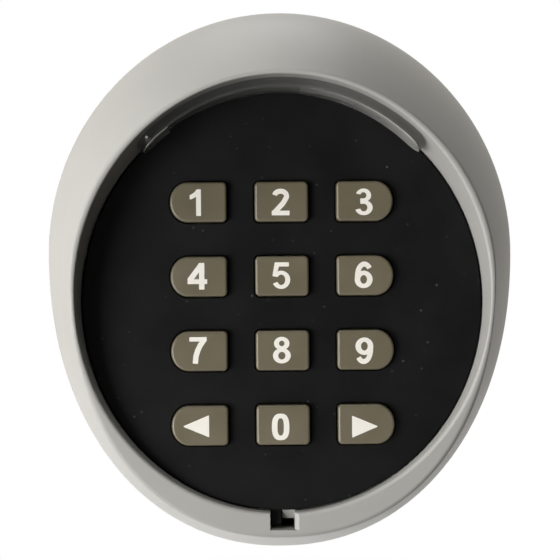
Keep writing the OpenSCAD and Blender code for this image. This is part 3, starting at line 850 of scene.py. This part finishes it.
def build_dome_mat(keys, material):
    """A sheet with an opening over each lamp, and a dome under each key, as tall as the key's travel."""
    low, high = face_on_box("dome_mat")
    sheet_front = high[2] - KEY_TRAVEL
    sheet = block("mat_sheet", low, (high[0], high[1], sheet_front), SHEET_CHAMFER)
    for across, up in LAMP_PLACES:
        opening_low = (across - LAMP_OPENING_HALF_W, up - LAMP_OPENING_HALF_H, low[2] - PAST)
        opening_high = (across + LAMP_OPENING_HALF_W, up + LAMP_OPENING_HALF_H, high[2])
        combine(sheet, "DIFFERENCE", block("lamp_opening", opening_low, opening_high))
    smooth(sheet)
    finish_piece(sheet, "case", "dome_mat", material)
    for key in keys:
        dome = stack("mat_dome_" + key.name, [
            [at(p, depth) for p in circle(key.centre, r, DOME_STEPS)]
            for r, depth in (
                (DOME_R, sheet_front - DOME_SUNK),
                (DOME_R, sheet_front),
                (DOME_TOP_R, high[2] - DOME_CROWN),
                (DOME_TOP_R - DOME_CROWN, high[2]),
            )
        ])
        smooth(dome)
        finish_piece(dome, "case", "dome_mat", material)
        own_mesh(dome)


# ---------- light guide ----------

# The inner face's half sizes, and how far the bar stays from the opening's wall and the front edge
GUIDE_HALF_W = 41.6
GUIDE_HALF_H = 45
GUIDE_GAP = 0.1
GUIDE_BACK_OFF = 2.6
# The bar's reach to either side of the top, and the part of it that is a round end, in degrees
GUIDE_ANGLE = 47
GUIDE_END = 4.5
GUIDE_STEPS = 140
GUIDE_END_STEPS = 12
GUIDE_ROUND = 0.8
GUIDE_ROUND_SHARE = 0.8
GUIDE_BACK_STEPS = 3
GUIDE_FRONT_STEPS = 5
GUIDE_FLAT_ANGLE = 50
# Faces count as the inner face where their normal's share towards the middle is over this
FACES_IN = 0.5
# The stretch of the inner face that stays clear, without the frosting and its painted light
CLEAR_LEFT = -24
CLEAR_RIGHT = 4


def guide_section(off, swell):
    """The light guide's cross-section, off degrees from the top: swell is its share of the full depth."""
    a = math.radians(90 + off)
    inner = oval_ray(a, GUIDE_HALF_W, GUIDE_HALF_H, PANEL_CENTRE_UP)
    full = lip_depth(lip_outline(a)[1]) - GUIDE_BACK_OFF
    middle = (PANEL_DEPTH + full) / 2
    half = (full - PANEL_DEPTH) / 2 * swell

    def outer(depth):
        return at(shifted(opening_at(a, depth), ray(a), -GUIDE_GAP), depth)

    r = min(GUIDE_ROUND, half * GUIDE_ROUND_SHARE)
    inner_back, inner_front = at(inner, middle - half), at(inner, middle + half)
    outer_back, outer_front = outer(middle - half), outer(middle + half)
    return (
        rounded(inner_front, inner_back, outer_back, r / 2, GUIDE_BACK_STEPS)
        + rounded(inner_back, outer_back, outer_front, r / 2, GUIDE_BACK_STEPS)
        + rounded(outer_back, outer_front, inner_front, r, GUIDE_FRONT_STEPS)
        + rounded(outer_front, inner_front, inner_back, r, GUIDE_FRONT_STEPS)
    )


def build_light_guide(material, frosting_and_painted_light):
    """A curved bar with round ends and a ground inner face, painted paler towards the ends."""
    body = GUIDE_ANGLE - GUIDE_END
    end = [(body + GUIDE_END * math.cos(a), math.sin(a)) for a in arc(0, 90, GUIDE_END_STEPS)[1:-1]]
    middle = [(body * (1 - 2 * k / GUIDE_STEPS), 1) for k in range(GUIDE_STEPS + 1)]
    places = end + middle + [(-off, swell) for off, swell in reversed(end)]
    guide = stack("light_bar", [guide_section(off, swell) for off, swell in places])
    smooth(guide, GUIDE_FLAT_ANGLE)
    finish_piece(guide, "case", "light_guide", material)
    guide.data.materials.append(frosting_and_painted_light)
    panel_middle = place((0, PANEL_CENTRE_UP, 0))
    for face in guide.data.polygons:
        inward = panel_middle - face.center
        inward.y = 0
        faces_in = face.normal.dot(inward.normalized()) > FACES_IN
        # Inner faces at the ends get the ground face's material, with its painted light
        if faces_in and not CLEAR_LEFT < face.center.x / MM < CLEAR_RIGHT:
            face.material_index = 1


# ---------- the object ----------

silver = housing_paint()
black = panel_plastic()
taupe = key_plastic()
cream = legend_plastic()
clear = clear_plastic()
grey = moulded("plate_plastic", (0.045, 0.046, 0.047), (0.06, 0.061, 0.062), 0.5)
cover_black = moulded("cover_plastic", (0.010, 0.010, 0.010), (0.016, 0.016, 0.016), 0.45)
foam = moulded(
    "gasket_foam", (0.014, 0.014, 0.015), (0.03, 0.03, 0.031), 0.9,
    grain=1500.0, grain_strength=0.8, patch=900.0,
)
steel = metal("screw_steel", (0.52, 0.53, 0.54), (0.62, 0.63, 0.64), 0.3)
nickel = metal("nickel_plate", (0.60, 0.57, 0.50), (0.70, 0.67, 0.60), 0.25)
copper = metal("copper_wire", (0.72, 0.32, 0.14), (0.80, 0.40, 0.20), 0.28)
silicone = moulded("mat_silicone", (0.42, 0.44, 0.42), (0.52, 0.53, 0.51), 0.55, Subsurface_Weight=0.1)
lamp = moulded("lamp_body", (0.70, 0.69, 0.62), (0.82, 0.80, 0.70), 0.3, patch=1500.0)
board = board_laminate()
chip = moulded("chip_epoxy", (0.012, 0.012, 0.013), (0.02, 0.02, 0.021), 0.6)
jacket = cell_jacket()

keys = [Key(name) for name in KEY_NAMES]
build_housing(silver)
build_panel(keys, black)
build_light_guide(clear, frosted_plastic_with_painted_light())
build_dome_mat(keys, silicone)
for key in keys:
    build_key(key, taupe)

CAD_FINISHES = {
    "rear_plate": grey,
    "rear_gasket": foam,
    "rear_plate_screws": steel,
    "leds": lamp,
    "circuit_board": board,
    "controller_chip": chip,
    "radio_module": board,
    "crystal": steel,
    "buzzer": chip,
    "capacitors": nickel,
    "antenna_coil": copper,
    "rear_cover": cover_black,
    "rear_cover_screws": steel,
    "battery_door": cover_black,
    "batteries": jacket,
    "battery_springs": steel,
    "battery_contacts": nickel,
}
CAD_FINISHES.update({"legend_" + name: cream for name in KEY_NAMES})
for node, material in CAD_FINISHES.items():
    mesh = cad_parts[node].data
    mesh.materials.clear()
    mesh.materials.append(material)


# ---------- studio, in metres ----------

FLOOR_RADIUS = 1.6
FLOOR_DROP = 0.3
FLOOR_STEPS = 96
# How far out the floor's glow starts to grow
FLOOR_GLOW_STARTS = 0.5


def floor_paper():
    """Pale paper with a painted glow that grows into the white background at its edge."""
    nodes = Nodes("floor_paper")
    reach = nodes.add("ShaderNodeVectorMath", {0: nodes.coords}, operation="LENGTH").outputs["Value"]
    grain = nodes.noise(400.0, 2.0)
    nodes.shade(
        Base_Color=nodes.blend(grain, (0.80, 0.80, 0.79), (0.84, 0.84, 0.83)),
        Roughness=0.85,
        Emission_Color=(1, 1, 1),
        # Painted glow: faint in the middle of the floor and full at its edge
        Emission_Strength=nodes.ranged(reach, FLOOR_GLOW_STARTS, FLOOR_RADIUS, 0.25, 1.0),
    )
    return nodes.material


def add_floor():
    """A floor that is seen, but throws no light up at the object."""
    mesh = bpy.data.meshes.new("floor")
    rim = [at(p, -FLOOR_DROP) for p in circle((0, 0), FLOOR_RADIUS, FLOOR_STEPS)]
    mesh.from_pydata(rim, [], [tuple(range(len(rim)))])
    floor = bpy.data.objects.new("floor", mesh)
    bpy.context.scene.collection.objects.link(floor)
    floor.data.materials.append(floor_paper())
    floor.visible_diffuse = False
    floor.visible_shadow = False


# Softboxes by name: degrees round from the front (to the right is positive), degrees up, power in watts
SOFTBOXES = {
    "key_light": (-41, -9, 10.6),
    "side_light": (-75, 0, 4.7),
    "left_rim_light": (-120, 10, 0.6),
    "top_light": (0, 70, 2.9),
    "back_top_light": (180, 55, 2.4),
    "back_low_light": (180, -40, 3.4),
}
SOFTBOX_SIZE = 0.5
SOFTBOX_DISTANCE = 1.0


def add_softbox(name, round_degrees, up_degrees, power):
    """A square light that faces the object."""
    turn = math.radians(round_degrees)
    up = math.radians(up_degrees)
    toward_light = Vector((math.sin(turn) * math.cos(up), -math.cos(turn) * math.cos(up), math.sin(up)))
    light = bpy.data.lights.new(name, "AREA")
    light.shape = "SQUARE"
    light.size = SOFTBOX_SIZE
    light.energy = power
    obj = bpy.data.objects.new(name, light)
    obj.location = toward_light * SOFTBOX_DISTANCE
    obj.rotation_euler = (-toward_light).to_track_quat("-Z", "Y").to_euler()
    bpy.context.scene.collection.objects.link(obj)


ROOM_COLOUR = (1, 0.965, 0.91, 1)
ROOM_STRENGTH = 0.85


def add_world():
    """White paper for the camera, and a warm glow from behind the wall plane for everything else."""
    world = bpy.data.worlds.new("studio")
    bpy.context.scene.world = world
    world.use_nodes = True
    world.node_tree.nodes.clear()
    graph = Graph(world.node_tree)
    direction = graph.add("ShaderNodeTexCoord").outputs["Generated"]
    into_wall = graph.add("ShaderNodeSeparateXYZ", {0: direction}).outputs["Y"]
    glow = graph.ranged(into_wall, 0.0, 0.5, 0.0, ROOM_STRENGTH, "SMOOTHSTEP")
    room = graph.add("ShaderNodeBackground", {"Color": ROOM_COLOUR, "Strength": glow}).outputs[0]
    paper = graph.add("ShaderNodeBackground", {"Color": (1, 1, 1, 1)}).outputs[0]
    seen = graph.add("ShaderNodeLightPath").outputs["Is Camera Ray"]
    surface = graph.add("ShaderNodeMixShader", {0: seen, 1: room, 2: paper}).outputs[0]
    graph.add("ShaderNodeOutputWorld", {"Surface": surface})


# The camera stands in front of the middle of the object, swung a little to the left, and is slightly rolled
CAMERA_DISTANCE = 0.46
CAMERA_SWING = math.radians(-1.1)
CAMERA_ROLL = math.radians(-0.5)
CAMERA_LENS = 129.7
CAMERA_SENSOR = 36


def add_camera():
    low, high = cad_box
    aim = Vector((0, 0, (low[2] + high[2]) / 2))
    data = bpy.data.cameras.new("camera")
    data.lens = CAMERA_LENS
    data.sensor_width = CAMERA_SENSOR
    data.clip_start = 0.01
    camera = bpy.data.objects.new("camera", data)
    view = Vector((math.sin(CAMERA_SWING), -math.cos(CAMERA_SWING), 0))
    facing = (-view).to_track_quat("-Z", "Y").to_matrix().to_4x4()
    camera.matrix_world = (
        Matrix.Translation(aim + view * CAMERA_DISTANCE) @ facing @ Matrix.Rotation(CAMERA_ROLL, 4, "Z")
    )
    bpy.context.scene.collection.objects.link(camera)
    bpy.context.scene.camera = camera


add_floor()
add_world()
add_camera()
for name, (round_degrees, up_degrees, power) in SOFTBOXES.items():
    add_softbox(name, round_degrees, up_degrees, power)
bpy.context.scene.view_settings.view_transform = "Standard"
